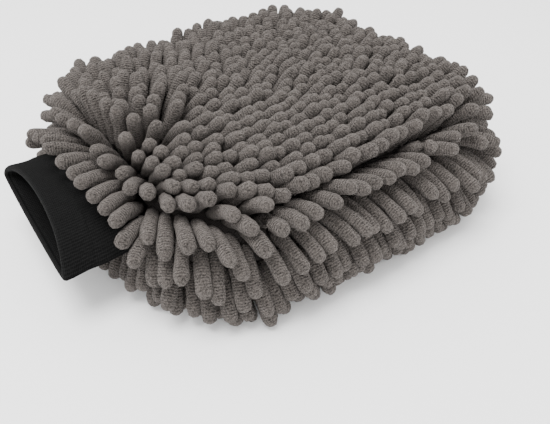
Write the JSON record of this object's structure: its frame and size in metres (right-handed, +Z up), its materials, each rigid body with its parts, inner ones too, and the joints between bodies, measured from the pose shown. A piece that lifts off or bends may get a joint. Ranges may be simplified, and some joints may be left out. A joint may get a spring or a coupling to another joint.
{
  "type": "wash mitt",
  "caption": "Chenille microfibre wash mitt with a ribbed elastic cuff, both faces and all edges covered in soft noodle pile.",
  "frame": {"origin": "on the surface the mitt lies on, under the middle of its outline, cuff included", "axes": "+X from the cuff's open mouth to the closed finger end, +Y across the hand, +Z up from the surface the mitt rests on"},
  "size_m": [0.266, 0.224, 0.072],
  "materials": {
    "chenille_pile": "matt, fuzzy microfibre chenille",
    "base_knit": "flat warp knit",
    "lining_knit": "brushed knit",
    "cuff_rib_knit": "fine rib knit",
    "elastic": "covered rubber strands",
    "black_thread": "spun polyester thread",
    "overlock_thread": "textured polyester thread"
  },
  "bodies": {
    "palm_half": {"base_knit_top_palm_half": "base_knit", "lining_top_palm_half": "lining_knit", "pile_top_palm_half": "chenille_pile", "base_knit_bottom_palm_half": "base_knit", "lining_bottom_palm_half": "lining_knit", "pile_bottom_palm_half": "chenille_pile", "bag_seam_palm_half": "base_knit", "pile_left_palm_half": "chenille_pile", "pile_right_palm_half": "chenille_pile", "pile_left_shoulder": "chenille_pile", "pile_right_shoulder": "chenille_pile", "neck_seam_allowance": "cuff_rib_knit", "neck_overlock": "overlock_thread"},
    "finger_half": {"base_knit_top_finger_half": "base_knit", "lining_top_finger_half": "lining_knit", "pile_top_finger_half": "chenille_pile", "base_knit_bottom_finger_half": "base_knit", "lining_bottom_finger_half": "lining_knit", "pile_bottom_finger_half": "chenille_pile", "bag_seam_finger_half": "base_knit", "pile_left_finger_half": "chenille_pile", "pile_right_finger_half": "chenille_pile", "pile_finger_end": "chenille_pile"},
    "cuff": {"cuff_outer": "cuff_rib_knit", "cuff_inner": "cuff_rib_knit", "wrist_elastic": "elastic", "hem_stitches": "black_thread"}
  },
  "joints": [
    {"name": "cuff_bend", "type": "hinge", "parent": "palm_half", "child": "cuff", "pos_m": [-0.095, 0, 0.036], "axis": [0, 1, 0], "range_deg": [-12, 40], "stiffness_Nm_per_rad": 0.08},
    {"name": "knuckle_bend", "type": "hinge", "parent": "palm_half", "child": "finger_half", "pos_m": [0.012, 0, 0.045], "axis": [0, -1, 0], "range_deg": [0, 30], "stiffness_Nm_per_rad": 0.3}
  ]
}
